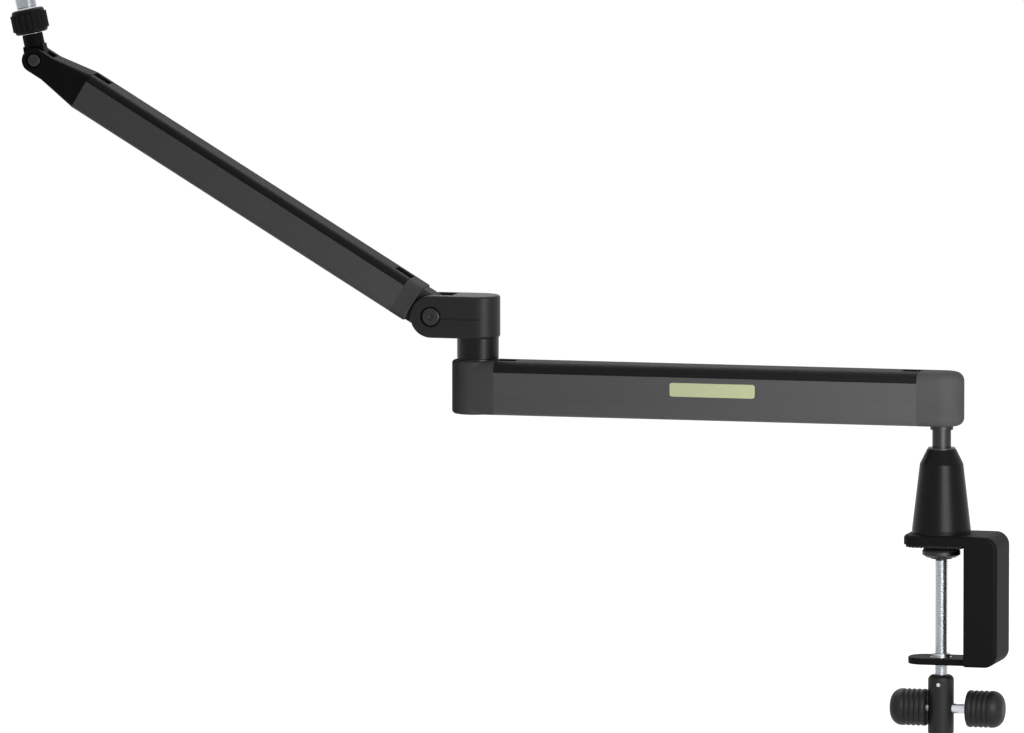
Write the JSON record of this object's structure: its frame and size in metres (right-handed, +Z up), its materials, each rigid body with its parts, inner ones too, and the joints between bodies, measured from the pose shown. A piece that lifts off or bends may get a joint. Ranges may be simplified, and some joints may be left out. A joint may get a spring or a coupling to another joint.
{
  "type": "microphone boom arm",
  "caption": "Low-profile desk-clamp boom arm for a microphone: level lower arm on a tapered riser, swivelling elbow, tilting upper arm, clip-on cable covers and a threaded tip.",
  "frame": {"origin": "on the common axis of post and clamp screw, at the underside of the upper jaw's rubber pad", "axes": "+Z up along the post, lower arm along -X as shown, +Y to the far side"},
  "size_m": [0.7757, 0.048, 0.5481],
  "materials": {
    "cast_black": "black powder coat on cast aluminium",
    "anodised_grey": "dark grey anodised extrusion",
    "cover_plastic": "moulded, fine matt grain",
    "bearing_plastic": "moulded acetal",
    "grip_plastic": "moulded, satin",
    "pad_rubber": "moulded rubber",
    "black_steel": "black oxide",
    "bright_steel": "bright zinc plate"
  },
  "bodies": {
    "clamp": {"clamp_frame": "cast_black", "jaw_pad": "pad_rubber", "riser_cone": "cast_black", "cone_screws": "black_steel", "cone_bush": "bearing_plastic", "thread_insert": "bright_steel"},
    "pad": {"pressure_pad": "black_steel", "pressure_pad_rubber": "pad_rubber", "pad_retainer": "black_steel"},
    "screw": {"clamp_screw": "bright_steel", "handle_hub": "grip_plastic", "hub_pin": "bright_steel"},
    "t_bar": {"tommy_bar": "bright_steel", "bar_grip_left": "grip_plastic", "bar_grip_right": "grip_plastic"},
    "lower_arm": {"base_post": "black_steel", "lower_end_cap_base": "cast_black", "lower_arm_beam": "anodised_grey", "lower_end_cap_elbow": "cast_black", "lower_arm_screws": "black_steel", "elbow_bush": "bearing_plastic", "elbow_plug": "bearing_plastic"},
    "lower_cover": {"lower_cable_cover": "cover_plastic"},
    "elbow": {"elbow_column": "cast_black", "elbow_bracket": "cast_black", "elbow_bolt": "black_steel", "elbow_spring_washers": "black_steel", "tilt_bolt": "black_steel", "tilt_nut": "black_steel", "tilt_washers": "bearing_plastic"},
    "upper_arm": {"upper_root_knuckle": "cast_black", "tilt_bush": "bearing_plastic", "upper_arm_beam": "anodised_grey", "upper_nose": "cast_black", "upper_arm_screws": "black_steel", "tip_bolt": "black_steel", "tip_nut": "black_steel"},
    "upper_cover": {"upper_cable_cover": "cover_plastic"},
    "mic_head": {"mic_knuckle": "cast_black", "tip_washers": "bearing_plastic", "mic_stud": "bright_steel"},
    "mic_ring": {"mic_lock_ring": "grip_plastic"}
  },
  "joints": [
    {"name": "clamp_travel", "type": "slide", "parent": "clamp", "child": "pad", "axis": [0, 0, 1], "range_m": [-0.068, 0.00245]},
    {"name": "clamp_screw_turn", "type": "hinge", "parent": "pad", "child": "screw", "pos_m": [0, 0, -0.05], "axis": [0, 0, 1], "range_deg": [-16200, 576]},
    {"name": "t_bar_slide", "type": "slide", "parent": "screw", "child": "t_bar", "axis": [1, 0, 0], "range_m": [-0.01, 0]},
    {"name": "base_swivel", "type": "hinge", "parent": "clamp", "child": "lower_arm", "pos_m": [0, 0, 0.08], "axis": [0, 0, 1], "continuous": true},
    {"name": "lower_cover_lift", "type": "slide", "parent": "lower_arm", "child": "lower_cover", "axis": [0, 0, 1], "range_m": [0, 0.012]},
    {"name": "elbow_swivel", "type": "hinge", "parent": "lower_arm", "child": "elbow", "pos_m": [-0.36, 0, 0.14], "axis": [0, 0, 1], "continuous": true},
    {"name": "upper_tilt", "type": "hinge", "parent": "elbow", "child": "upper_arm", "pos_m": [-0.393, 0, 0.1648], "axis": [0, 1, 0], "range_deg": [-31, 59]},
    {"name": "upper_cover_lift", "type": "slide", "parent": "upper_arm", "child": "upper_cover", "axis": [0.515, 0, 0.8572], "range_m": [0, 0.012]},
    {"name": "mic_tilt", "type": "hinge", "parent": "upper_arm", "child": "mic_head", "pos_m": [-0.70587, 0, 0.35279], "axis": [0, 1, 0], "range_deg": [-137, 43]},
    {"name": "mic_ring_spin", "type": "hinge", "parent": "mic_head", "child": "mic_ring", "pos_m": [-0.7121, 0, 0.38213], "axis": [-0.2079, 0, 0.9781], "continuous": true}
  ],
  "couplings": [
    {"joint": "clamp_travel", "follows": "clamp_screw_turn", "m_per_rad": 0.00023873}
  ]
}
